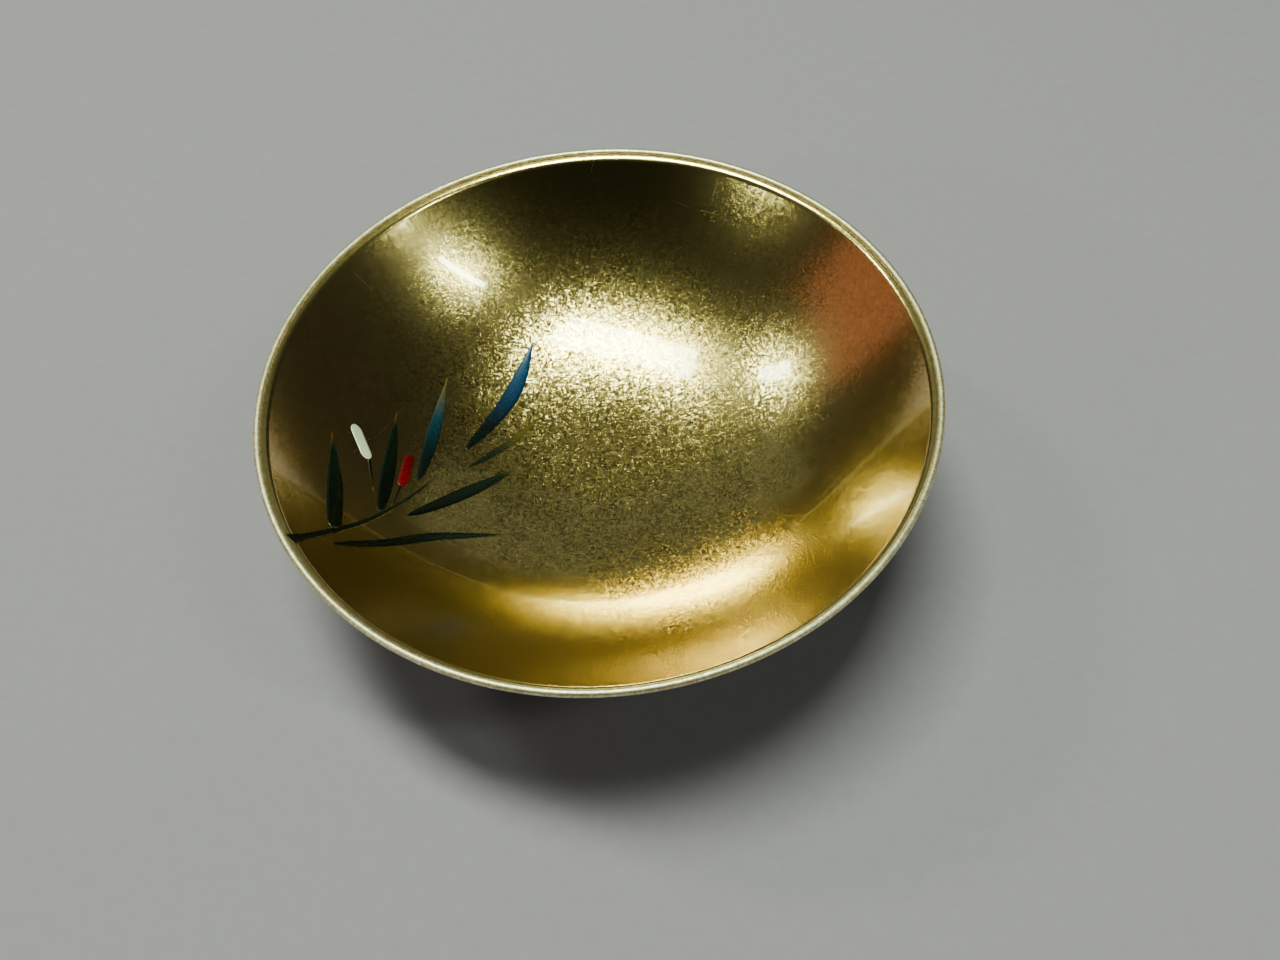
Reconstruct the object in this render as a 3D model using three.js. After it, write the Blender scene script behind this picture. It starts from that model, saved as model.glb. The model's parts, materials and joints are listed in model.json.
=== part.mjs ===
import * as THREE from "three";
import { mergeVertices } from "three/addons/utils/BufferGeometryUtils.js";

// A shallow turned-wood drinking cup, lacquered black outside and gilded inside,
// with a sprig of leaves and two buds painted on the gilding.
// Millimetres, +Z up. The origin is the centre of the foot's resting face.

// Driving dimensions of the cup, mm.
const RIM_RADIUS = 45; // outermost radius, at the lip
const HEIGHT = 30; // table to the top of the lip
const BOWL_DEPTH = 20; // end of the wall down to the middle of the floor
const RIM_SLOPE = THREE.MathUtils.degToRad(51.5); // steepness of the wall where it meets the lip
const LIP_THICKNESS = 1; // the lip is a round bead of this diameter
const LIP_WRAP = THREE.MathUtils.degToRad(25); // how far the bead's round runs past its middle
const SKIN = 0.2; // each coat of lacquer or gilding
const SEAM = 0.05; // clearance kept between neighbouring layers
const WOOD_AT_RIM = 0.3;
const WOOD_AT_FLOOR = 2;

// Driving dimensions of the foot, mm.
const FOOT_RADIUS = 19; // outer radius at the table
const FOOT_WALL = 2.8;
const FOOT_FLARE = 0.5; // the foot's outside is this much narrower at the top
const FOOT_EDGE = 0.5; // rounding of the two edges it stands on

// Painted strokes, mm.
const PAINT_THICKNESS = 0.15;
const PAINT_LIFT = 0.15; // clearance between the paint and the facets of the gilding
const TIP_WIDTH = 0.06; // a leaf's point, as a fraction of its full width
const BUD_END_WIDTH = 0.3; // the blunt very end of a bud, as a fraction of its full width

// Fineness of the turned and painted shapes.
const TURN_STEPS = 48;
const WALL_STEPS = 10;
const LIP_STEPS = 8;
const EDGE_STEPS = 3;
const STROKE_STEPS = 10;
const SOLVER_ROUNDS = 8;

// Sizes that follow from the driving dimensions.
const lipRadius = LIP_THICKNESS / 2;
const wallAtRim = 2 * SKIN + 2 * SEAM + WOOD_AT_RIM;
const lipLift = SEAM + lipRadius * Math.sin(LIP_WRAP);
const wallEndRadius =
  RIM_RADIUS - lipRadius - (wallAtRim / 2) * Math.sin(RIM_SLOPE) - lipLift * Math.cos(RIM_SLOPE);
const wallEndHeight =
  HEIGHT - lipRadius + (wallAtRim / 2) * Math.cos(RIM_SLOPE) - lipLift * Math.sin(RIM_SLOPE);
const floorHeight = wallEndHeight - BOWL_DEPTH;
const curve = (Math.tan(RIM_SLOPE) * wallEndRadius) / BOWL_DEPTH;

const finishes = {
  gilding: new THREE.MeshStandardMaterial({ color: 0xc9a857, metalness: 1, roughness: 0.3 }),
  blackLacquer: new THREE.MeshStandardMaterial({ color: 0x100d0c, metalness: 0, roughness: 0.15 }),
  wood: new THREE.MeshStandardMaterial({ color: 0x9a6f45, metalness: 0, roughness: 0.7 }),
  darkGreen: new THREE.MeshStandardMaterial({ color: 0x10190f, metalness: 0, roughness: 0.25 }),
  blueGreen: new THREE.MeshStandardMaterial({ color: 0x12303f, metalness: 0, roughness: 0.25 }),
  olive: new THREE.MeshStandardMaterial({ color: 0x3f4220, metalness: 0, roughness: 0.3 }),
  white: new THREE.MeshStandardMaterial({ color: 0xcfd0bc, metalness: 0, roughness: 0.3 }),
  red: new THREE.MeshStandardMaterial({ color: 0xa3171a, metalness: 0, roughness: 0.3 }),
};

// The gilded surface of the bowl: its height and its steepness at a distance from the axis.
const bowlHeight = (r) => floorHeight + BOWL_DEPTH * (r / wallEndRadius) ** curve;
const bowlSlope = (r) =>
  Math.atan(((BOWL_DEPTH * curve) / wallEndRadius) * (r / wallEndRadius) ** (curve - 1));

// The wood thins evenly from the floor to the rim.
const woodThickness = (r) =>
  WOOD_AT_RIM + (WOOD_AT_FLOOR - WOOD_AT_RIM) * (1 - (r / wallEndRadius) ** 2);

// Depth below the gilded surface of each boundary between layers.
const underGilding = () => SKIN;
const topOfWood = () => SKIN + SEAM;
const underWood = (r) => topOfWood() + woodThickness(r);
const topOfOuterSkin = (r) => underWood(r) + SEAM;
const underOuterSkin = (r) => topOfOuterSkin(r) + SKIN;

// The point of the wall's section that lies a given depth below the gilded surface at radius r.
function wallPoint(r, depth) {
  const slope = bowlSlope(r);
  return new THREE.Vector2(r + depth * Math.sin(slope), bowlHeight(r) - depth * Math.cos(slope));
}

// One face of a layer, from radius `from` out to radius `to`, as points of the section.
// Every layer bends at the same radii, so neighbouring layers stay the same distance apart.
function wallFace(from, to, depthAt) {
  const bends = Array.from({ length: WALL_STEPS }, (_, i) => (i * wallEndRadius) / WALL_STEPS);
  const radii = [from, ...bends.filter((r) => r > from && r < to), to];
  return radii.map((r) => wallPoint(r, depthAt(r)));
}

// The radius on the gilded surface whose point at the given depth is `wanted` from the axis.
function surfaceRadiusFor(wanted, depthAt) {
  let r = wanted;
  for (let i = 0; i < SOLVER_ROUNDS; i++) {
    r += wanted - wallPoint(r, depthAt(r)).x;
  }
  return r;
}

// Turns a section on the axis. The section runs anticlockwise, so the faces point outwards.
function turned(points) {
  const closed = points[0].x > 0 ? [...points, points[0].clone()] : points;
  const geometry = new THREE.LatheGeometry(closed, TURN_STEPS);
  geometry.deleteAttribute("normal");
  geometry.deleteAttribute("uv");
  geometry.rotateX(Math.PI / 2);
  return mergeVertices(geometry, 1e-4);
}

// A coat or the wooden body: everything between two depths, from one radius to another.
function wallLayer(from, to, upperDepth, lowerDepth) {
  const lower = wallFace(from, to, lowerDepth);
  const upper = wallFace(from, to, upperDepth);
  return turned([...lower, ...upper.reverse()]);
}

function woodCore() {
  return wallLayer(0, wallEndRadius, topOfWood, underWood);
}

function goldLining() {
  return wallLayer(0, wallEndRadius, () => 0, underGilding);
}

// The black coat on the outside starts against the foot and ends under the lip.
function outerLacquer() {
  const start = surfaceRadiusFor(FOOT_RADIUS - FOOT_FLARE + SEAM, topOfOuterSkin);
  return wallLayer(start, wallEndRadius, topOfOuterSkin, underOuterSkin);
}

// The same coat inside the hollow of the foot.
function footWellLacquer() {
  const end = surfaceRadiusFor(FOOT_RADIUS - FOOT_FLARE - FOOT_WALL - SEAM, underOuterSkin);
  return wallLayer(0, end, topOfOuterSkin, underOuterSkin);
}

// A ring glued to the wood. Its top follows the underside of the bowl.
function footRing() {
  const seat = (r) => underWood(r) + SEAM;
  const topOuter = FOOT_RADIUS - FOOT_FLARE;
  const topInner = topOuter - FOOT_WALL;
  const inner = surfaceRadiusFor(topInner, seat);
  const outer = surfaceRadiusFor(topOuter, seat);
  const top = wallFace(inner, outer, seat).reverse();
  const bottomInner = FOOT_RADIUS - FOOT_WALL;
  const innerEdge = new THREE.Vector2(bottomInner + FOOT_EDGE, FOOT_EDGE);
  const outerEdge = new THREE.Vector2(FOOT_RADIUS - FOOT_EDGE, FOOT_EDGE);
  const bottom = [
    ...arcPoints(innerEdge, FOOT_EDGE, Math.PI, 1.5 * Math.PI, EDGE_STEPS),
    ...arcPoints(outerEdge, FOOT_EDGE, 1.5 * Math.PI, 2 * Math.PI, EDGE_STEPS),
  ];
  return turned([...bottom, ...top]);
}

function arcPoints(centre, radius, startAngle, endAngle, steps) {
  const points = [];
  for (let i = 0; i <= steps; i++) {
    const angle = THREE.MathUtils.lerp(startAngle, endAngle, i / steps);
    points.push(new THREE.Vector2(Math.cos(angle), Math.sin(angle)).multiplyScalar(radius).add(centre));
  }
  return points;
}

// A round bead over the cut end of the wall, a little thicker than the wall.
function goldLip() {
  const centre = new THREE.Vector2(RIM_RADIUS - lipRadius, HEIGHT - lipRadius);
  const acrossWall = RIM_SLOPE - Math.PI / 2;
  const start = acrossWall - LIP_WRAP;
  const end = acrossWall + Math.PI + LIP_WRAP;
  return turned(arcPoints(centre, lipRadius, start, end, LIP_STEPS));
}

// Outlines of painted strokes: the width at a fraction t of the way along, as a fraction of
// the stroke's full width.
// A leaf starts blunt, swells to its full width at `swell`, and ends in a point.
const leafWidth = (base, swell) => (t) => {
  if (t < swell) return base + (1 - base) * Math.sin((Math.PI / 2) * (t / swell));
  return Math.max(TIP_WIDTH, Math.cos((Math.PI / 2) * ((t - swell) / (1 - swell))));
};
// A twig is widest where the brush set down.
const twigWidth = (end) => (t) => THREE.MathUtils.lerp(1, end, t);
// A bud has two round ends.
const budWidth = (roundPart) => (t) => {
  const fromEnd = Math.min(t, 1 - t) / roundPart;
  return fromEnd >= 1 ? 1 : Math.max(BUD_END_WIDTH, Math.sqrt(1 - (1 - fromEnd) ** 2));
};

// The sprig, seen from above, in mm from the axis of the cup. It grows from the lip towards
// the floor. Each route runs from where the brush set down to where it lifted.
const sprig = [
  {
    name: "branch",
    finish: "darkGreen",
    route: [[-37.5, -21.4], [-34.5, -17.6], [-31.6, -14], [-27.5, -8.2], [-22.8, -1.2]],
    width: 1,
    outline: twigWidth(0.2),
  },
  {
    name: "leaf_1",
    finish: "darkGreen",
    route: [[-34.8, -16.4], [-35.8, -9.5], [-37.1, -0.4]],
    width: 1.75,
    outline: leafWidth(0.75, 0.35),
  },
  {
    name: "leaf_2",
    finish: "darkGreen",
    route: [[-30.7, -11], [-30.2, -2.2], [-29.8, 6.5]],
    width: 1.7,
    outline: leafWidth(0.5, 0.4),
  },
  {
    name: "leaf_3",
    finish: "blueGreen",
    route: [[-26.5, -4.7], [-24.9, 4.5], [-23.2, 13.8]],
    width: 1.7,
    outline: leafWidth(0.4, 0.45),
  },
  {
    name: "leaf_4",
    finish: "blueGreen",
    route: [[-20.5, 2.1], [-14.1, 11.9], [-10.3, 21.6]],
    width: 2.3,
    outline: leafWidth(0.35, 0.55),
  },
  {
    name: "leaf_5",
    finish: "olive",
    route: [[-20.1, -1], [-14.5, 3.6], [-9.5, 8.8]],
    width: 1.4,
    outline: leafWidth(0.3, 0.5),
  },
  {
    name: "leaf_6",
    finish: "darkGreen",
    route: [[-27.4, -11.4], [-21.2, -6.3], [-14.6, -1.6], [-12.9, -0.3]],
    width: 1.9,
    outline: leafWidth(0.35, 0.5),
  },
  {
    name: "leaf_7",
    finish: "darkGreen",
    route: [[-34.4, -20.2], [-28.8, -17.1], [-23, -14.1], [-13.2, -12.4]],
    width: 1.5,
    outline: leafWidth(0.5, 0.45),
  },
  {
    name: "white_bud",
    finish: "white",
    route: [[-34.8, 2], [-32.7, -3]],
    width: 1.3,
    outline: budWidth(0.12),
  },
  {
    name: "white_bud_stem",
    finish: "darkGreen",
    route: [[-32.5, -3.5], [-31.6, -8.3]],
    width: 0.35,
    outline: twigWidth(0.7),
  },
  {
    name: "red_bud",
    finish: "red",
    route: [[-27.8, -0.4], [-28.5, -6.3]],
    width: 1.4,
    outline: budWidth(0.12),
  },
  {
    name: "red_bud_stem",
    finish: "darkGreen",
    route: [[-28.8, -6.8], [-29.1, -9.8]],
    width: 0.3,
    outline: twigWidth(0.7),
  },
];

// The point that lies `lift` above the gilded surface over the plan point (x, y).
function abovePlanPoint(x, y, lift) {
  const r = Math.hypot(x, y);
  const slope = bowlSlope(r);
  const inward = (lift * Math.sin(slope)) / r;
  return new THREE.Vector3(
    x * (1 - inward),
    y * (1 - inward),
    bowlHeight(r) + lift * Math.cos(slope),
  );
}

// A stroke starts as a flat box, divided along its length, and each corner of it is laid
// on the bowl: x along the route, y across it, z through the thickness of the paint.
function paintedStroke({ route, width, outline }) {
  const line = new THREE.SplineCurve(route.map(([x, y]) => new THREE.Vector2(x, y)));
  const box = new THREE.BoxGeometry(1, 1, 1, STROKE_STEPS, 1, 1);
  box.deleteAttribute("normal");
  box.deleteAttribute("uv");
  const corners = box.getAttribute("position");
  for (let i = 0; i < corners.count; i++) {
    const along = corners.getX(i) + 0.5;
    const centre = line.getPoint(along);
    const ahead = line.getTangent(along);
    const sideways = corners.getY(i) * width * outline(along);
    const lift = PAINT_LIFT + (corners.getZ(i) + 0.5) * PAINT_THICKNESS;
    const x = centre.x - ahead.y * sideways;
    const y = centre.y + ahead.x * sideways;
    corners.setXYZ(i, ...abovePlanPoint(x, y, lift).toArray());
  }
  return mergeVertices(box, 1e-4);
}

function piece(name, geometry, finish) {
  const mesh = new THREE.Mesh(geometry, finish);
  mesh.name = name;
  return mesh;
}

const cup = new THREE.Group();
cup.add(piece("wood_core", woodCore(), finishes.wood));
cup.add(piece("foot_ring", footRing(), finishes.blackLacquer));
cup.add(piece("outer_lacquer", outerLacquer(), finishes.blackLacquer));
cup.add(piece("foot_well_lacquer", footWellLacquer(), finishes.blackLacquer));
cup.add(piece("gold_lining", goldLining(), finishes.gilding));
cup.add(piece("gold_lip", goldLip(), finishes.gilding));
for (const stroke of sprig) {
  cup.add(piece(stroke.name, paintedStroke(stroke), finishes[stroke.finish]));
}

export default cup;
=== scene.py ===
# %% [markdown]
# # A gilded lacquer cup with a painted sprig
#
# The object is a shallow drinking cup: a thin bowl turned from wood, coated in black lacquer outside and
# gilded inside, standing on a low ring foot. A sprig of leaves and two buds is painted on the gilding.
#
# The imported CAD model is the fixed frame. It holds every piece at its right size and place, but turned in
# coarse facets, so each piece is made again here as a fine surface of the same section.

# %% Load the frame
import bisect
import json
import math

import bmesh
import bpy
from mathutils import Matrix, Vector

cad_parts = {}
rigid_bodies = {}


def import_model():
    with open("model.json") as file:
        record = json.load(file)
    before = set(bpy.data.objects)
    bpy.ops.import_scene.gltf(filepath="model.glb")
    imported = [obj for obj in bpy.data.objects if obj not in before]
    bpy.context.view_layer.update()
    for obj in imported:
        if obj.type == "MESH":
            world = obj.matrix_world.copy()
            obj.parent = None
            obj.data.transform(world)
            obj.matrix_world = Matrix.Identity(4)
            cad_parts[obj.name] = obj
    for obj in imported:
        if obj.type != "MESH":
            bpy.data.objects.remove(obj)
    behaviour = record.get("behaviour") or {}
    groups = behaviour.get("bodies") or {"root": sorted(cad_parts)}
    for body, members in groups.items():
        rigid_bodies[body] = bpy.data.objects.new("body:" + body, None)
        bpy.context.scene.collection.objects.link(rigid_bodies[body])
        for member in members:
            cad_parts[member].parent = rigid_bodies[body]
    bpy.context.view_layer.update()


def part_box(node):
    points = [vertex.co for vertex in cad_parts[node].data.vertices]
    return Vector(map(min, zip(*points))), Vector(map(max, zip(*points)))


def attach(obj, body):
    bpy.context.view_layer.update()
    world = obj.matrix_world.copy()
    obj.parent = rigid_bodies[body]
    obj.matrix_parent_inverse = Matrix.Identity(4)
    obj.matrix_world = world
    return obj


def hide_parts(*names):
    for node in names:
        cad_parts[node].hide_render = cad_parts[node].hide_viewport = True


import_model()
scene = bpy.context.scene

# %% [markdown]
# ## Sizes
#
# The lip gives the cup's radius and height, and the other sizes are the ones the frame was designed with,
# in metres. The wall is described once, as a curve: the gilded surface rises from the floor as a power of
# the distance from the axis, and every coat lies at its own depth under that surface.

# %% The cup's driving sizes
MM = 0.001
lip_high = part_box("gold_lip")[1]
foot_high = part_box("foot_ring")[1]

RIM_RADIUS = lip_high.x
HEIGHT = lip_high.z
BOWL_DEPTH = 20 * MM
RIM_SLOPE = math.radians(51.5)
LIP_RADIUS = 0.5 * MM
LIP_WRAP = math.radians(25)
SKIN = 0.2 * MM
SEAM = 0.05 * MM
WOOD_AT_RIM = 0.3 * MM
WOOD_AT_FLOOR = 2 * MM
FOOT_RADIUS = foot_high.x
FOOT_WALL = 2.8 * MM
FOOT_FLARE = 0.5 * MM
FOOT_EDGE = 0.5 * MM

wall_at_rim = 2 * SKIN + 2 * SEAM + WOOD_AT_RIM
lip_lift = SEAM + LIP_RADIUS * math.sin(LIP_WRAP)
wall_end_radius = (RIM_RADIUS - LIP_RADIUS
                   - wall_at_rim / 2 * math.sin(RIM_SLOPE) - lip_lift * math.cos(RIM_SLOPE))
wall_end_height = (HEIGHT - LIP_RADIUS
                   + wall_at_rim / 2 * math.cos(RIM_SLOPE) - lip_lift * math.sin(RIM_SLOPE))
floor_height = wall_end_height - BOWL_DEPTH
curve_power = math.tan(RIM_SLOPE) * wall_end_radius / BOWL_DEPTH
print("inside radius, mm:", round(wall_end_radius / MM, 2), "floor at", round(floor_height / MM, 2))


# %% The curve of the wall
def bowl_height(r):
    return floor_height + BOWL_DEPTH * (r / wall_end_radius) ** curve_power


def bowl_slope(r):
    rise = BOWL_DEPTH * curve_power / wall_end_radius * (r / wall_end_radius) ** (curve_power - 1)
    return math.atan(rise)


def wood_thickness(r):
    return WOOD_AT_RIM + (WOOD_AT_FLOOR - WOOD_AT_RIM) * (1 - (r / wall_end_radius) ** 2)


def under_wood(r):
    return SKIN + SEAM + wood_thickness(r)


def under_outer_skin(r):
    return under_wood(r) + SEAM + SKIN


def wall_point(r, depth):
    """The point of the section at a depth under the gilded surface, as (distance from the axis, height)."""
    slope = bowl_slope(r)
    return r + depth * math.sin(slope), bowl_height(r) - depth * math.cos(slope)


print("wall at the axis, mm:", round(under_outer_skin(0) / MM, 2), "at the rim:", round(wall_at_rim / MM, 2))

# %% [markdown]
# ## The camera
#
# A close handheld view from above the near side of the cup, tipped 56 degrees down and held a little
# crooked. It is made first, because everything after it is judged through it.

# %% Camera
CAMERA_PLACE = Vector((4.68, -90.07, 138.67)) * MM
CAMERA_PITCH = math.radians(56.22)
CAMERA_ROLL = math.radians(-3.91)
CAMERA_LENS = 30.04

camera_data = bpy.data.cameras.new("close_view")
camera_data.lens = CAMERA_LENS
camera_data.sensor_width = 36
camera_data.clip_start = 1 * MM
camera = bpy.data.objects.new("close_view", camera_data)
tip_down = Matrix.Rotation(math.pi / 2 - CAMERA_PITCH, 4, "X")
camera.matrix_world = Matrix.Translation(CAMERA_PLACE) @ tip_down @ Matrix.Rotation(CAMERA_ROLL, 4, "Z")
scene.collection.objects.link(camera)
scene.camera = camera
camera_distance = (CAMERA_PLACE - Vector((0, 0, HEIGHT))).length
print("camera distance to the rim's centre, mm:", round(camera_distance / MM))


# %% [markdown]
# ## Helpers for materials
#
# One function turns a colour that is written as in a paint program into the linear values a shader works
# with, and one adds a node with its settings and links.

# %% Colour and node helpers
def colour(hex_code):
    """Linear RGBA of an sRGB colour such as "c9a860"."""
    channels = [int(hex_code[i:i + 2], 16) / 255 for i in (0, 2, 4)]
    linear = [c / 12.92 if c <= 0.04045 else ((c + 0.055) / 1.055) ** 2.4 for c in channels]
    return (*linear, 1.0)


def add_node(tree, kind, values=None, links=None, **settings):
    """One node: properties by name, then socket values, then links from other nodes' outputs."""
    node = tree.nodes.new(kind)
    for name, value in settings.items():
        setattr(node, name, value)
    for socket, value in (values or {}).items():
        node.inputs[socket].default_value = value
    for socket, source in (links or {}).items():
        tree.links.new(source, node.inputs[socket])
    return node


def new_material(name):
    """An empty material, its node tree, and its output node."""
    material = bpy.data.materials.new(name)
    material.use_nodes = True
    material.node_tree.nodes.clear()
    output = add_node(material.node_tree, "ShaderNodeOutputMaterial")
    return material, material.node_tree, output


# A colour mix has its sockets at these places, because its names repeat for each data type.
MIX_A, MIX_B, MIX_RESULT = 6, 7, 2


# %% [markdown]
# ## The gilding
#
# The inside is gold powder sprinkled on wet lacquer, rubbed smooth and sealed with a clear coat. Gold is
# a real metal surface, so it takes its whole colour from what it reflects. Each time light bounces from
# wall to wall inside the bowl the gold filters it again, so the steep wall on the near side turns orange
# by itself, without any orange paint. It could be made with one noise for colour and one for bump, but
# then the sparkle looks like hammered sheet. So each grain of powder gets its own slight tilt and tone,
# from a Voronoi cell. Fine hairlines show on the floor, where the cup is wiped, and the clear coat adds
# crisp white reflections.

# %% Sizes in the gilding
# Real powder is under 0.1 mm and a real hairline is about 0.02 mm wide. Both are drawn coarser, so that they
# show from the camera's distance.
GRAIN_MM = 0.25
GRAIN_TILT = 0.13
GRAIN_STRETCH = ((0.5, 1.2, 1.0), (1.2, 0.5, 1.0))
HAIRLINE_MM = (0.11, 1.4)
HAIRLINE_DIRECTIONS = 6
HAIRLINE_SPARSE = 0.6
SCRATCH_MM = (0.1, 18.0)
SCRATCH_DIRECTIONS = 2
SCRATCH_SPARSE = 0.755
SCRATCH_ROUGHNESS = 0.2
MARK_DEPTH_MM = 0.003

# The wear fades between these distances from its centre, and a cloudy noise moves its edge in and out.
WORN_RADIUS_MM = (14, 40)
WORN_CENTRE_MM = (2, 8, 0)
WORN_EDGE_MM = 44
SATIN_GOLD = "c9a860"
print("gilding grain, mm:", GRAIN_MM, "hairlines:", HAIRLINE_MM, "in", HAIRLINE_DIRECTIONS, "directions")


# %% Patterns in the gilding
def millimetres(tree):
    """Object coordinates counted in millimetres."""
    place = add_node(tree, "ShaderNodeTexCoord").outputs["Object"]
    mapping = add_node(tree, "ShaderNodeMapping", {"Scale": (1 / MM,) * 3}, {"Vector": place})
    return mapping.outputs["Vector"]


def lines(tree, place, size, turn, seed, sparse):
    """Straight marks in one direction: 1 on a mark, 0 between. A higher sparse leaves fewer of them."""
    width, length = size
    turned = add_node(tree, "ShaderNodeMapping",
                      {"Rotation": (0, 0, turn), "Location": (seed, -seed, seed)}, {"Vector": place})
    drawn = add_node(tree, "ShaderNodeMapping", {"Scale": (1 / length, 1 / width, 1 / length)},
                     {"Vector": turned.outputs["Vector"]})
    noise = add_node(tree, "ShaderNodeTexNoise", {"Scale": 0.7, "Detail": 2, "Roughness": 0.55},
                     {"Vector": drawn.outputs["Vector"]})
    mark = add_node(tree, "ShaderNodeMapRange", {"From Min": sparse, "From Max": sparse + 0.08},
                    {"Value": noise.outputs["Fac"]})
    return mark.outputs["Result"]


def all_lines(tree, place, size, directions, seed, sparse):
    """Marks in several directions, laid over one another."""
    result = None
    for k in range(directions):
        layer = lines(tree, place, size, math.pi * (k + 0.3) / directions, seed + 17.0 * k, sparse)
        if result is None:
            result = layer
        else:
            result = add_node(tree, "ShaderNodeMath", links={0: result, 1: layer},
                              operation="MAXIMUM").outputs["Value"]
    return result


def powder_grains(tree, place):
    """A random colour for each grain. The grains lie one way in some patches and across in others."""
    drawn_out = []
    for stretch in GRAIN_STRETCH:
        mapping = add_node(tree, "ShaderNodeMapping", {"Scale": stretch, "Rotation": (0, 0, 0.5)},
                           {"Vector": place})
        cells = add_node(tree, "ShaderNodeTexVoronoi", {"Scale": 1 / GRAIN_MM},
                         {"Vector": mapping.outputs["Vector"]})
        drawn_out.append(cells.outputs["Color"])
    patches = add_node(tree, "ShaderNodeTexNoise", {"Scale": 0.7, "Detail": 3}, {"Vector": place})
    choice = add_node(tree, "ShaderNodeMapRange", {"From Min": 0.49, "From Max": 0.51},
                      {"Value": patches.outputs["Fac"]})
    mixed = add_node(tree, "ShaderNodeMix",
                     links={"Factor": choice.outputs["Result"], MIX_A: drawn_out[0], MIX_B: drawn_out[1]},
                     data_type="RGBA")
    return mixed.outputs[MIX_RESULT]


# %% Gilding
def gilding_material(name, least_wear, most_wear, bright, dull, smoothest, coat):
    """Gold powder in lacquer, from bright where it is kept to dull where it is worn."""
    material, tree, output = new_material(name)
    place = millimetres(tree)

    grain = powder_grains(tree, place)
    cloudy = add_node(tree, "ShaderNodeTexNoise", {"Scale": 0.25, "Detail": 8, "Roughness": 0.75},
                      {"Vector": place})
    rubbed = all_lines(tree, place, HAIRLINE_MM, HAIRLINE_DIRECTIONS, 3.0, HAIRLINE_SPARSE)
    scratched = all_lines(tree, place, SCRATCH_MM, SCRATCH_DIRECTIONS, 140.0, SCRATCH_SPARSE)

    # How worn a point is: most on the floor, least up the wall, and uneven like a cloud between.
    shifted = add_node(tree, "ShaderNodeVectorMath", {1: WORN_CENTRE_MM}, {0: place}, operation="SUBTRACT")
    flat = add_node(tree, "ShaderNodeVectorMath", {1: (1, 1, 0)}, {0: shifted.outputs["Vector"]},
                    operation="MULTIPLY")
    radius = add_node(tree, "ShaderNodeVectorMath", links={0: flat.outputs["Vector"]}, operation="LENGTH")
    uneven = add_node(tree, "ShaderNodeMath", {1: WORN_EDGE_MM},
                      {0: cloudy.outputs["Fac"], 2: radius.outputs["Value"]}, operation="MULTIPLY_ADD")
    middle = WORN_EDGE_MM / 2
    wear = add_node(tree, "ShaderNodeMapRange",
                    {"From Min": WORN_RADIUS_MM[1] + middle, "From Max": WORN_RADIUS_MM[0] + middle,
                     "To Min": least_wear, "To Max": most_wear},
                    {"Value": uneven.outputs["Value"]}, interpolation_type="SMOOTHSTEP").outputs["Result"]

    speck = add_node(tree, "ShaderNodeSeparateColor", links={"Color": grain}).outputs["Red"]
    marks = add_node(tree, "ShaderNodeMath", {1: 0.35}, {0: rubbed, 2: speck}, operation="MULTIPLY_ADD")
    worn_marks = add_node(tree, "ShaderNodeMath", links={0: marks.outputs["Value"], 1: wear},
                          operation="MULTIPLY").outputs["Value"]
    rubbed_here = add_node(tree, "ShaderNodeMath", links={0: rubbed, 1: wear}, operation="MULTIPLY")
    relief = add_node(tree, "ShaderNodeMath", {1: 0.8}, {0: scratched, 2: rubbed_here.outputs["Value"]},
                      operation="MULTIPLY_ADD").outputs["Value"]

    tone = add_node(tree, "ShaderNodeMix", {MIX_A: colour(bright), MIX_B: colour(dull)},
                    {"Factor": worn_marks}, data_type="RGBA")
    satin = add_node(tree, "ShaderNodeTexNoise", {"Scale": 0.9, "Detail": 5, "Roughness": 0.7},
                     {"Vector": place})
    warm = add_node(tree, "ShaderNodeMapRange", {"From Min": 0.35, "From Max": 0.65, "To Max": 0.5},
                    {"Value": satin.outputs["Fac"]})
    tint = add_node(tree, "ShaderNodeMix", {MIX_B: colour(SATIN_GOLD)},
                    {"Factor": warm.outputs["Result"], MIX_A: tone.outputs[MIX_RESULT]}, data_type="RGBA")
    satin_rough = add_node(tree, "ShaderNodeMapRange", {"To Min": smoothest, "To Max": smoothest + 0.05},
                           {"Value": worn_marks})
    rough = add_node(tree, "ShaderNodeMath", {1: SCRATCH_ROUGHNESS},
                     {0: scratched, 2: satin_rough.outputs["Result"]}, operation="MULTIPLY_ADD")
    bump = add_node(tree, "ShaderNodeBump", {"Strength": 1.0, "Distance": MARK_DEPTH_MM * MM},
                    {"Height": relief})

    # Each grain of powder lies at its own slight tilt, so it catches the light on its own.
    centred = add_node(tree, "ShaderNodeVectorMath", {1: (0.5, 0.5, 0.5)}, {0: grain}, operation="SUBTRACT")
    amount = add_node(tree, "ShaderNodeMath", {1: GRAIN_TILT}, {0: wear}, operation="MULTIPLY")
    tilt = add_node(tree, "ShaderNodeVectorMath",
                    links={0: centred.outputs["Vector"], "Scale": amount.outputs["Value"]},
                    operation="SCALE")
    tilted = add_node(tree, "ShaderNodeVectorMath",
                      links={0: bump.outputs["Normal"], 1: tilt.outputs["Vector"]}, operation="ADD")
    facing = add_node(tree, "ShaderNodeVectorMath", links={0: tilted.outputs["Vector"]},
                      operation="NORMALIZE")

    shader = add_node(tree, "ShaderNodeBsdfPrincipled",
                      {"Metallic": 1.0, "Coat Weight": coat, "Coat Roughness": 0.04, "Coat IOR": 1.5},
                      {"Base Color": tint.outputs[MIX_RESULT], "Roughness": rough.outputs["Value"],
                       "Normal": facing.outputs["Vector"]})
    tree.links.new(shader.outputs["BSDF"], output.inputs["Surface"])
    return material


# The bowl is worn most on its floor. It stays smooth and deep up the wall, under a full clear coat.
bowl_gilding = gilding_material("gold_powder_rubbed_in_lacquer", 0.22, 1.0, "edd397", "5f5230", 0.2, 1.0)
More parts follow.
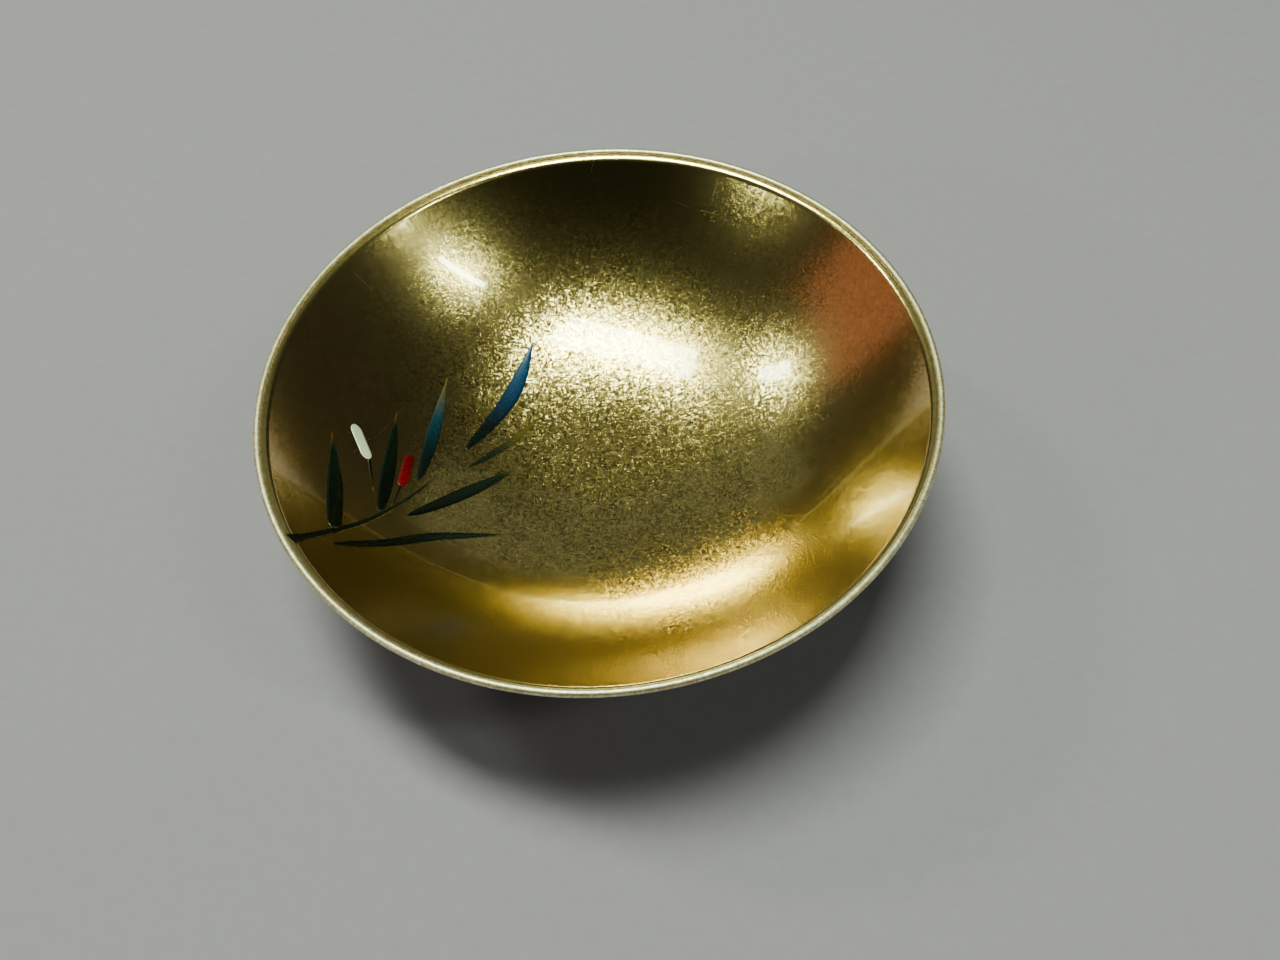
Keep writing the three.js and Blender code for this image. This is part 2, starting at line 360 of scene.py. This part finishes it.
# The lip is handled most: it is rubbed evenly all round, so it is rougher and has little coat left.
# Its gold is worn paler, and is painted paler still, nearly white, as a painted highlight of the lamps it
# mirrors.
lip_gilding = gilding_material("gold_lip_worn_with_painted_highlight", 0.5, 0.5, "fff6dc", "94825a", 0.46, 0.3)
print("gilding materials:", bowl_gilding.name, "and", lip_gilding.name)

# %% [markdown]
# ## Black lacquer
#
# The outside is brushed black lacquer, rubbed and polished: nearly black with a breath of brown where it
# is thin, a mirror-like coat, a very slight unevenness left by the brush, and hairlines from wiping. A
# plain black would look like plastic, so the brown and the unevenness are drawn as two slow noises, some
# 3 mm and 8 mm across. The hairlines are drawn 0.12 mm wide, several times coarser than real ones, so
# that they show.

# %% Black lacquer
WIPED_MM = (0.12, 8.0)


def black_lacquer_material():
    material, tree, output = new_material("polished_black_lacquer")
    place = millimetres(tree)
    depth = add_node(tree, "ShaderNodeTexNoise", {"Scale": 0.12, "Detail": 3}, {"Vector": place})
    shade = add_node(tree, "ShaderNodeMix", {MIX_A: colour("120d0b"), MIX_B: colour("2c1c15")},
                     {"Factor": depth.outputs["Fac"]}, data_type="RGBA")
    wiped = lines(tree, place, WIPED_MM, 0.4, 3.0, 0.6)
    rough = add_node(tree, "ShaderNodeMapRange", {"To Min": 0.09, "To Max": 0.2}, {"Value": wiped})
    brushed = add_node(tree, "ShaderNodeTexNoise", {"Scale": 0.35, "Detail": 2}, {"Vector": place})
    height = add_node(tree, "ShaderNodeMath", {1: 0.08}, {0: wiped, 2: brushed.outputs["Fac"]},
                      operation="MULTIPLY_ADD")
    bump = add_node(tree, "ShaderNodeBump", {"Strength": 0.12, "Distance": 0.1 * MM},
                    {"Height": height.outputs["Value"]})
    shader = add_node(tree, "ShaderNodeBsdfPrincipled",
                      {"IOR": 1.54, "Specular IOR Level": 0.8, "Coat Weight": 1.0, "Coat Roughness": 0.03,
                       "Coat IOR": 1.58},
                      {"Base Color": shade.outputs[MIX_RESULT], "Roughness": rough.outputs["Result"],
                       "Normal": bump.outputs["Normal"]})
    tree.links.new(shader.outputs["BSDF"], output.inputs["Surface"])
    return material


black_lacquer = black_lacquer_material()
print("outside:", black_lacquer.name)

# %% [markdown]
# ## Turned wood
#
# The body under the coats is close-grained hardwood turned across the grain. It is sealed in on every
# side, so it is made simply: straight growth bands, a little warped, and fine pores 3 mm long.

# %% Turned wood
PORE_MM = (0.1, 3.0)


def wood_material():
    material, tree, output = new_material("close_grained_turned_hardwood")
    place = millimetres(tree)
    warp = add_node(tree, "ShaderNodeTexNoise", {"Scale": 0.08, "Detail": 2}, {"Vector": place})
    bent = add_node(tree, "ShaderNodeVectorMath", {1: (6, 6, 6)}, {0: warp.outputs["Color"]},
                    operation="MULTIPLY")
    moved = add_node(tree, "ShaderNodeVectorMath", links={0: place, 1: bent.outputs["Vector"]},
                     operation="ADD")
    bands = add_node(tree, "ShaderNodeTexWave", {"Scale": 0.25, "Distortion": 1.5, "Detail": 2},
                     {"Vector": moved.outputs["Vector"]})
    tone = add_node(tree, "ShaderNodeMix", {MIX_A: colour("a97f52"), MIX_B: colour("8a5f37")},
                    {"Factor": bands.outputs["Fac"]}, data_type="RGBA")
    pores = lines(tree, place, PORE_MM, 0.0, 5.0, 0.55)
    rough = add_node(tree, "ShaderNodeMapRange", {"To Min": 0.55, "To Max": 0.75}, {"Value": pores})
    bump = add_node(tree, "ShaderNodeBump", {"Strength": 0.2, "Distance": 0.05 * MM}, {"Height": pores})
    shader = add_node(tree, "ShaderNodeBsdfPrincipled", {"IOR": 1.5},
                      {"Base Color": tone.outputs[MIX_RESULT], "Roughness": rough.outputs["Result"],
                       "Normal": bump.outputs["Normal"]})
    tree.links.new(shader.outputs["BSDF"], output.inputs["Surface"])
    return material


turned_wood = wood_material()
print("body:", turned_wood.name)

# %% [markdown]
# ## Turning a section
#
# Every body piece is a solid of revolution, which is how it is made on a lathe. It could be a cylinder
# that is pushed into shape, but a spun section gives exact wall thicknesses. The section is a loop of
# points in the XZ plane, and one full spin about the axis sweeps it. Where a section touches the axis,
# merging the doubled points closes it.

# %% Lathe helper
TURN_STEPS = 192
WALL_STEPS = 56
MERGE_DISTANCE = 0.0005 * MM


def turned_piece(name, section, material, node):
    """Spins a section of (distance from the axis, height) points into a closed piece."""
    mesh = bmesh.new()
    corners = [mesh.verts.new((r, 0, z)) for r, z in section]
    for a, b in zip(corners, corners[1:]):
        mesh.edges.new((a, b))
    if section[0][0] > 0:
        mesh.edges.new((corners[-1], corners[0]))
    bmesh.ops.spin(mesh, geom=list(mesh.verts) + list(mesh.edges), cent=(0, 0, 0), axis=(0, 0, 1),
                   angle=math.tau, steps=TURN_STEPS, use_merge=True)
    bmesh.ops.remove_doubles(mesh, verts=mesh.verts, dist=MERGE_DISTANCE)
    bmesh.ops.recalc_face_normals(mesh, faces=mesh.faces)
    for face in mesh.faces:
        face.smooth = True
    finish_piece(name, mesh, material, node)


def finish_piece(name, mesh, material, node):
    """Puts a bmesh in the scene as a piece of the cup, in place of the CAD node it stands for."""
    data = bpy.data.meshes.new(name)
    open_edges = sum(1 for edge in mesh.edges if len(edge.link_faces) != 2)
    mesh.to_mesh(data)
    mesh.free()
    data.materials.append(material)
    piece = bpy.data.objects.new(name, data)
    scene.collection.objects.link(piece)
    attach(piece, "root")
    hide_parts(node)
    print(name, len(data.polygons), "faces,", open_edges, "open edges")


# %% Helpers for sections
LEAST_FACE_STEPS = 4
SOLVER_ROUNDS = 8


def wall_face(start, end, depth_at):
    """One face of a layer, as points from radius start to radius end."""
    steps = max(LEAST_FACE_STEPS, round(WALL_STEPS * abs(end - start) / wall_end_radius))
    radii = [start * (1 - i / steps) + end * i / steps for i in range(steps + 1)]
    return [wall_point(r, depth_at(r)) for r in radii]


def arc(centre, radius, start, end, steps):
    """Points of a round stretch of a section."""
    angles = [start + (end - start) * i / steps for i in range(steps + 1)]
    return [(centre[0] + radius * math.cos(a), centre[1] + radius * math.sin(a)) for a in angles]


def radius_for(wanted, depth_at):
    """The radius on the gilded surface whose point at a depth is wanted from the axis."""
    r = wanted
    for _ in range(SOLVER_ROUNDS):
        r += wanted - wall_point(r, depth_at(r))[0]
    return r


# %% [markdown]
# ## The bowl: wooden body, gilded lining, black coat
#
# The three layers follow one curve. The lining is the piece that is seen most, so its section has the
# most steps, close enough that no facet shows in a reflection.

# %% Layers of the wall
def over_outer_skin(r):
    return under_wood(r) + SEAM


def wall_layer(start, end, lower_depth, upper_depth):
    """The section of a layer between two depths, as a loop."""
    return wall_face(start, end, lower_depth) + wall_face(end, start, upper_depth)


foot_top = FOOT_RADIUS - FOOT_FLARE
coat_start = radius_for(foot_top, under_outer_skin)

turned_piece("turned_body", wall_layer(0, wall_end_radius, under_wood, lambda r: SKIN + SEAM),
             turned_wood, "wood_core")
turned_piece("gilded_bowl", wall_layer(0, wall_end_radius, lambda r: SKIN, lambda r: 0),
             bowl_gilding, "gold_lining")
turned_piece("black_outside_coat",
             wall_layer(coat_start, wall_end_radius, under_outer_skin, over_outer_skin),
             black_lacquer, "outer_lacquer")

# %% [markdown]
# ## The lip
#
# The gilding runs over the rim in a rounded bead, a little thicker than the wall. It could be a bevel on
# the wall, but the bead is its own coat, so it is its own piece. Its section is the part of a circle that
# meets the wall's two faces, closed by the line where it sits on the cut end of the wall.

# %% Lip bead
LIP_STEPS = 20
lip_centre = (RIM_RADIUS - LIP_RADIUS, HEIGHT - LIP_RADIUS)
across_wall = RIM_SLOPE - math.pi / 2
flush = math.acos(wall_at_rim / 2 / LIP_RADIUS)
lip_section = arc(lip_centre, LIP_RADIUS, across_wall - flush, across_wall + math.pi + flush, LIP_STEPS)
turned_piece("gilded_lip_bead", lip_section, lip_gilding, "gold_lip")

# %% [markdown]
# ## The foot
#
# A turned ring, a little wider at the table than at the bowl, with softened edges. A small fillet of
# lacquer gathers where the ring meets the outside of the bowl, because a brush leaves more in a corner.

# %% Foot ring and the coat in its well
EDGE_STEPS = 8
FILLET = 0.8 * MM
FILLET_END = 0.55 * math.pi

seat_inner = radius_for(foot_top - FOOT_WALL, over_outer_skin)
seat_outer = radius_for(foot_top, over_outer_skin)
fillet_top = wall_point(coat_start, under_outer_skin(foot_top))[1]
inner_edge = (FOOT_RADIUS - FOOT_WALL + FOOT_EDGE, FOOT_EDGE)
outer_edge = (FOOT_RADIUS - FOOT_EDGE, FOOT_EDGE)
foot_section = (
    arc(inner_edge, FOOT_EDGE, math.pi, 1.5 * math.pi, EDGE_STEPS)
    + arc(outer_edge, FOOT_EDGE, 1.5 * math.pi, math.tau, EDGE_STEPS)
    + arc((foot_top + FILLET, fillet_top - FILLET), FILLET, math.pi, FILLET_END, EDGE_STEPS)
    + wall_face(seat_outer, seat_inner, over_outer_skin)
)
turned_piece("turned_foot", foot_section, black_lacquer, "foot_ring")

well_end = radius_for(foot_top - FOOT_WALL, under_outer_skin)
turned_piece("black_well_coat", wall_layer(0, well_end, under_outer_skin, over_outer_skin),
             black_lacquer, "foot_well_lacquer")

# %% [markdown]
# ## Lacquer paint
#
# Each leaf is one stroke of a brush loaded with coloured lacquer. Where the brush lands the paint is
# thick and nearly black; where it lifts, the hairs leave thin streaks and the gold shows through. Clear
# paint over a second gold surface would be true to life but slow and noisy, so the thin paint turns
# partly metal instead. How far along and how far across the stroke a point lies is stored on the mesh as
# an attribute, and both the colour and the streaks follow it.

# %% Paint materials
GOLD_UNDER_PAINT = "a48a3c"


def paint_material(name, base, tip, thin_from, thinnest):
    """Lacquer paint that turns from one colour to another along a stroke, and thins to show the gold."""
    material, tree, output = new_material(name)
    stroke = add_node(tree, "ShaderNodeAttribute", attribute_name="stroke")
    parts = add_node(tree, "ShaderNodeSeparateXYZ", links={"Vector": stroke.outputs["Vector"]})
    place = millimetres(tree)
    streak_place = add_node(tree, "ShaderNodeMapping", {"Scale": (2.5, 9, 1)},
                            {"Vector": stroke.outputs["Vector"]})
    streaks = add_node(tree, "ShaderNodeTexNoise", {"Scale": 1, "Detail": 3, "Roughness": 0.6},
                       {"Vector": streak_place.outputs["Vector"]})
    along = add_node(tree, "ShaderNodeMath", {1: 0.35}, {0: streaks.outputs["Fac"], 2: parts.outputs["X"]},
                     operation="MULTIPLY_ADD")
    blend = add_node(tree, "ShaderNodeMapRange", {"From Min": 0.35, "From Max": 0.95},
                     {"Value": along.outputs["Value"]}, interpolation_type="SMOOTHSTEP")
    paint = add_node(tree, "ShaderNodeMix", {MIX_A: colour(base), MIX_B: colour(tip)},
                     {"Factor": blend.outputs["Result"]}, data_type="RGBA")
    thin = add_node(tree, "ShaderNodeMapRange",
                    {"From Min": thin_from, "From Max": 1.25, "To Min": 0.0, "To Max": thinnest},
                    {"Value": along.outputs["Value"]}, interpolation_type="SMOOTHSTEP")
    shown = add_node(tree, "ShaderNodeMix", {MIX_B: colour(GOLD_UNDER_PAINT)},
                     {"Factor": thin.outputs["Result"], MIX_A: paint.outputs[MIX_RESULT]}, data_type="RGBA")
    fine = add_node(tree, "ShaderNodeTexNoise", {"Scale": 3, "Detail": 3}, {"Vector": place})
    rough = add_node(tree, "ShaderNodeMapRange", {"To Min": 0.16, "To Max": 0.34},
                     {"Value": fine.outputs["Fac"]})
    bump = add_node(tree, "ShaderNodeBump", {"Strength": 0.25, "Distance": 0.02 * MM},
                    {"Height": streaks.outputs["Fac"]})
    shader = add_node(tree, "ShaderNodeBsdfPrincipled",
                      {"IOR": 1.5, "Coat Weight": 0.4, "Coat Roughness": 0.05},
                      {"Base Color": shown.outputs[MIX_RESULT], "Metallic": thin.outputs["Result"],
                       "Roughness": rough.outputs["Result"], "Normal": bump.outputs["Normal"]})
    tree.links.new(shader.outputs["BSDF"], output.inputs["Surface"])
    return material


paints = {
    "twig": paint_material("black_green_lacquer_twig", "0a0f09", "1d2412", 0.95, 0.7),
    "leaf": paint_material("dark_green_lacquer_leaf", "0b120b", "101f12", 1.0, 0.6),
    "blue_leaf": paint_material("green_to_blue_lacquer_leaf", "0a1410", "0c3a62", 1.15, 0.35),
    "faint_blue_leaf": paint_material("thin_green_to_blue_lacquer_leaf", "0e1a16", "1c4052", 0.75,
                                      0.6),
    "olive_leaf": paint_material("thin_olive_lacquer_leaf", "1a2212", "30351a", 0.5, 0.5),
    "white_bud": paint_material("off_white_lacquer_bud", "c6c8b4", "d0cfba", 1.2, 0.1),
    "red_bud": paint_material("vermilion_lacquer_bud", "640f15", "74151a", 1.2, 0.1),
}
print(len(paints), "lacquer paints")

# %% [markdown]
# ## Painting a stroke
#
# A stroke starts as a flat grid, one unit long and wide. Each point is carried onto the bowl: along a
# smooth route that is drawn in plan, across it by the brush's width there, and up by the thickness of the
# paint, which is domed because wet lacquer draws in at its edges. Then the sheet is made solid downwards,
# so the paint has no hollow under it.

# %% Stroke helper
STROKE_STEPS = 56
ACROSS_STEPS = 6
ROUTE_STEPS = 24
PAINT_DOME = 0.05 * MM
PAINT_EDGE = 0.01 * MM
PAINT_ROOT = 0.05 * MM


def above_plan_point(x, y, lift):
    """The point over (x, y) that lies lift above the gilded surface."""
    r = math.hypot(x, y)
    slope = bowl_slope(min(r, wall_end_radius))
    inward = lift * math.sin(slope) / r
    return Vector((x * (1 - inward), y * (1 - inward), bowl_height(r) + lift * math.cos(slope)))


def smooth_route(points):
    """A Catmull-Rom route through plan points in mm, as a function of the share of its length, 0 to 1."""
    knots = [Vector(p) * MM for p in points]
    knots = [knots[0], *knots, knots[-1]]
    drawn = []
    for a, b, c, d in zip(knots, knots[1:], knots[2:], knots[3:]):
        for i in range(ROUTE_STEPS):
            u = i / ROUTE_STEPS
            drawn.append((2 * u**3 - 3 * u**2 + 1) * b + (u**3 - 2 * u**2 + u) * (c - a) / 2
                         + (3 * u**2 - 2 * u**3) * c + (u**3 - u**2) * (d - b) / 2)
    drawn.append(knots[-1])
    run = [0.0]
    for a, b in zip(drawn, drawn[1:]):
        run.append(run[-1] + (b - a).length)

    def place(share):
        wanted = share * run[-1]
        i = min(max(bisect.bisect_left(run, wanted), 1), len(run) - 1)
        return drawn[i - 1].lerp(drawn[i], (wanted - run[i - 1]) / (run[i] - run[i - 1]))

    return place


def painted_stroke(name, route, width, outline, paint, node):
    """One brush stroke on the gilding, closed all round, that replaces a CAD node."""
    place = smooth_route(route)
    mesh = bmesh.new()
    bmesh.ops.create_grid(mesh, x_segments=STROKE_STEPS, y_segments=ACROSS_STEPS, size=0.5)
    stroke = mesh.verts.layers.float_vector.new("stroke")
    step = 0.5 / STROKE_STEPS
    for vert in mesh.verts:
        along = vert.co.x + 0.5
        across = vert.co.y * 2
        ahead = place(min(1, along + step)) - place(max(0, along - step))
        ahead.normalize()
        spot = place(along) + Vector((-ahead.y, ahead.x)) * across * width * MM / 2 * outline(along)
        lift = PAINT_EDGE + PAINT_DOME * (1 - across * across)
        vert[stroke] = (along, across * width / 2, 0)
        vert.co = above_plan_point(spot.x, spot.y, lift)
    bmesh.ops.recalc_face_normals(mesh, faces=mesh.faces)
    if sum(face.normal.z for face in mesh.faces) < 0:
        bmesh.ops.reverse_faces(mesh, faces=mesh.faces)
    bmesh.ops.solidify(mesh, geom=list(mesh.faces), thickness=PAINT_ROOT)
    for face in mesh.faces:
        face.smooth = True
    finish_piece(name, mesh, paints[paint], node)


# %% [markdown]
# ## The sprig
#
# A twig rises from the lip and fades out on the bowl's floor. Seven leaves and two buds on thin stalks
# grow from it. The routes are drawn in plan, in millimetres from the cup's axis, along the frame's
# strokes. A leaf starts blunt, swells and ends in a point; a bud has two round ends; a twig only tapers.

# %% Outlines of strokes
# An outline gives a stroke's width at a share t of its length, as a share of its full width.
LANDING_SHARE = 1 / 6
LANDING_WIDTH = 0.02
TIP_WIDTH = 0.05
TIP_SHARPNESS = 1.1
DAB_LENGTH = 0.05
BUD_END_WIDTH = 0.08


def leaf_outline(base, swell):
    """A leaf that starts blunt at the share base of its width and is widest at swell."""
    def width(t):
        if t < swell:
            opening = min(1, t / swell / LANDING_SHARE) ** 0.5
            return opening * (base + (1 - base) * math.sin(math.pi / 2 * t / swell)) + LANDING_WIDTH
        return max(TIP_WIDTH, math.cos(math.pi / 2 * (t - swell) / (1 - swell)) ** TIP_SHARPNESS)
    return width


def twig_outline(end, dab=0.0):
    """A tapering line, with a round dab at its start where a full brush lands."""
    return lambda t: 1 + (end - 1) * t + dab * max(0, 1 - (t / DAB_LENGTH) ** 2)


def bud_outline(round_part):
    """A bar whose ends are rounded over a share of its length."""
    def width(t):
        from_end = min(t, 1 - t) / round_part
        return 1 if from_end >= 1 else max(BUD_END_WIDTH, math.sqrt(1 - (1 - from_end) ** 2))
    return width


# %% Strokes of the sprig
painted_stroke("painted_twig", [(-37.9, -21.9), (-34.5, -17.6), (-31.6, -14), (-27.5, -8.2), (-22.8, -1.2)],
               1.1, twig_outline(0.12, 0.5), "twig", "branch")
painted_stroke("painted_leaf_1", [(-34.65, -17.2), (-35.8, -9.5), (-37.1, -0.4)],
               1.75, leaf_outline(0.75, 0.35), "leaf", "leaf_1")
painted_stroke("painted_leaf_2", [(-30.5, -11.8), (-30.2, -2.2), (-29.8, 6.5)],
               1.7, leaf_outline(0.5, 0.4), "leaf", "leaf_2")
painted_stroke("painted_leaf_3", [(-26.5, -4.7), (-24.9, 4.5), (-23.2, 13.8)],
               1.7, leaf_outline(0.4, 0.45), "faint_blue_leaf", "leaf_3")
painted_stroke("painted_leaf_4", [(-20.5, 2.1), (-14.1, 11.9), (-10.3, 21.6)],
               2.3, leaf_outline(0.35, 0.55), "blue_leaf", "leaf_4")
painted_stroke("painted_leaf_5", [(-20.1, -1), (-14.5, 3.6), (-9.5, 8.8)],
               1.2, leaf_outline(0.3, 0.5), "olive_leaf", "leaf_5")
painted_stroke("painted_leaf_6", [(-27.4, -11.4), (-21.2, -6.3), (-14.6, -1.6), (-12.9, -0.3)],
               1.9, leaf_outline(0.35, 0.5), "leaf", "leaf_6")
painted_stroke("painted_leaf_7", [(-34.4, -20.2), (-28.8, -17.1), (-23, -14.1), (-13.2, -12.4)],
               1.5, leaf_outline(0.5, 0.45), "leaf", "leaf_7")
painted_stroke("painted_white_bud", [(-34.8, 2), (-32.7, -3.1)],
               1.3, bud_outline(0.2), "white_bud", "white_bud")
painted_stroke("painted_white_bud_stalk", [(-32.65, -3.1), (-31.6, -8.4)],
               0.35, twig_outline(0.7), "twig", "white_bud_stem")
painted_stroke("painted_red_bud", [(-27.8, -0.4), (-28.5, -6.3)],
               1.35, bud_outline(0.2), "red_bud", "red_bud")
painted_stroke("painted_red_bud_stalk", [(-28.6, -6.3), (-29.3, -10.4)],
               0.3, twig_outline(0.7), "twig", "red_bud_stem")

# %% [markdown]
# ## Floor
#
# A plain pale sheet, lightly mottled like matt board. The cup throws its shadow on it.

# %% Floor
FLOOR_HALF = 4
GLOW_MM = (350, 1500)
GLOW_STRENGTH = 0.36


def floor_material():
    material, tree, output = new_material("pale_matt_board")
    place = millimetres(tree)
    mottle = add_node(tree, "ShaderNodeTexNoise", {"Scale": 0.5, "Detail": 4}, {"Vector": place})
    tone = add_node(tree, "ShaderNodeMix", {MIX_A: colour("998d98"), MIX_B: colour("a195a0")},
                    {"Factor": mottle.outputs["Fac"]}, data_type="RGBA")
    # Far from the cup the board glows faintly, as a lit studio sweep does, so it stays pale to its edge.
    radius = add_node(tree, "ShaderNodeVectorMath", links={0: place}, operation="LENGTH").outputs["Value"]
    far = add_node(tree, "ShaderNodeMapRange",
                   {"From Min": GLOW_MM[0], "From Max": GLOW_MM[1], "To Max": GLOW_STRENGTH},
                   {"Value": radius}, interpolation_type="SMOOTHSTEP")
    shader = add_node(tree, "ShaderNodeBsdfPrincipled",
                      {"Roughness": 0.9, "Emission Color": colour("f6f4f2")},
                      {"Base Color": tone.outputs[MIX_RESULT], "Emission Strength": far.outputs["Result"]})
    tree.links.new(shader.outputs["BSDF"], output.inputs["Surface"])
    return material


floor_mesh = bmesh.new()
bmesh.ops.create_grid(floor_mesh, x_segments=1, y_segments=1, size=FLOOR_HALF)
floor_data = bpy.data.meshes.new("floor_board")
floor_mesh.to_mesh(floor_data)
floor_mesh.free()
floor_data.materials.append(floor_material())
floor = bpy.data.objects.new("floor_board", floor_data)
scene.collection.objects.link(floor)
print("floor:", 2 * FLOOR_HALF, "m square")

# %% [markdown]
# ## Light
#
# Gilding shows its lamps, so each soft panel is placed by the direction it is seen in from the bowl. A
# wide panel hangs overhead, and smaller ones stand to the left, the right and the near left. Two faint
# ones, one on the far side and a warm one low on the left, keep the walls from going black. The sky
# around them is dim, and dimmest behind the camera, where the person holding it would stand. Near the
# horizon it is bright, as pale studio walls are, so that the black outside has something to mirror.

# %% Panels
PANEL_DISTANCE = 0.9


def panel(name, one_end, other_end, width, strength, tint="e8ffe6"):
    """A soft strip between two directions seen from the bowl, its width in m and strength in W/m2."""
    ends = [Vector(d).normalized() * PANEL_DISTANCE for d in (one_end, other_end)]
    centre = (ends[0] + ends[1]) / 2
    length = (ends[1] - ends[0]).length
    along = (ends[1] - ends[0]).normalized()
    back = (centre - along * centre.dot(along)).normalized()
    light = bpy.data.lights.new(name, "AREA")
    light.shape = "RECTANGLE"
    light.size = length
    light.size_y = width
    light.energy = strength * length * width
    light.color = colour(tint)[:3]
    lamp = bpy.data.objects.new(name, light)
    turned = Matrix((along, back.cross(along), back)).transposed().to_4x4()
    lamp.matrix_world = Matrix.Translation(centre + Vector((0, 0, HEIGHT / 2))) @ turned
    lamp.visible_camera = False
    scene.collection.objects.link(lamp)
    print(name, "is", round(length, 2), "by", width, "m")


panel("overhead_panel", (0.13, -0.03, 0.99), (-0.31, 0.25, 0.92), 0.17, 106)
panel("left_panel", (-0.55, 0.33, 0.77), (-0.67, 0.35, 0.66), 0.075, 95)
panel("right_strip", (0.46, -0.27, 0.83), (0.64, -0.32, 0.70), 0.025, 180)
panel("low_right_panel", (0.74, -0.35, 0.58), (0.8, -0.36, 0.48), 0.03, 55)
panel("near_left_panel", (-0.72, -0.48, 0.49), (-0.8, -0.36, 0.46), 0.04, 110)
panel("far_sky", (-0.6, 0.75, 0.6), (0.5, 0.8, 0.6), 0.4, 0.5)
panel("warm_glow", (-0.9, 0.02, 0.42), (-0.8, 0.5, 0.35), 0.35, 1.0, "ffb09c")


# %% Sky
DARK_SIDE = (0.1, -0.72, 0.69)
DOME_STRENGTH = 0.045
DARK_SIDE_STRENGTH = 0.012
HORIZON_STRENGTH = 0.9
BACKDROP_STRENGTH = 0.62


def studio_sky():
    """A dim dome with a bright horizon, and a plain pale backdrop where the camera looks past the floor."""
    world = bpy.data.worlds.new("studio_sky")
    world.use_nodes = True
    world.node_tree.nodes.clear()
    tree = world.node_tree
    towards = add_node(tree, "ShaderNodeTexCoord").outputs["Generated"]
    facing = add_node(tree, "ShaderNodeVectorMath", {1: DARK_SIDE}, {0: towards}, operation="DOT_PRODUCT")
    dome = add_node(tree, "ShaderNodeMapRange",
                    {"From Min": 0.3, "From Max": 0.95, "To Min": DOME_STRENGTH,
                     "To Max": DARK_SIDE_STRENGTH},
                    {"Value": facing.outputs["Value"]}, interpolation_type="SMOOTHSTEP")
    height = add_node(tree, "ShaderNodeSeparateXYZ", links={"Vector": towards}).outputs["Z"]
    horizon = add_node(tree, "ShaderNodeMapRange",
                       {"From Min": 0.12, "From Max": 0.03, "To Max": HORIZON_STRENGTH},
                       {"Value": height}, interpolation_type="SMOOTHSTEP")
    shade = add_node(tree, "ShaderNodeMath",
                     links={0: dome.outputs["Result"], 1: horizon.outputs["Result"]}, operation="ADD")
    sky = add_node(tree, "ShaderNodeBackground", {"Color": colour("ecefe6")},
                   {"Strength": shade.outputs["Value"]})
    backdrop = add_node(tree, "ShaderNodeBackground",
                        {"Color": colour("d0cecb"), "Strength": BACKDROP_STRENGTH})
    seen = add_node(tree, "ShaderNodeLightPath").outputs["Is Camera Ray"]
    either = add_node(tree, "ShaderNodeMixShader",
                      links={0: seen, 1: sky.outputs["Background"], 2: backdrop.outputs["Background"]})
    add_node(tree, "ShaderNodeOutputWorld", links={"Surface": either.outputs["Shader"]})
    return world


scene.world = studio_sky()
scene.view_settings.view_transform = "AgX"
scene.view_settings.look = "AgX - Medium High Contrast"
print("view:", scene.view_settings.view_transform, scene.view_settings.look)
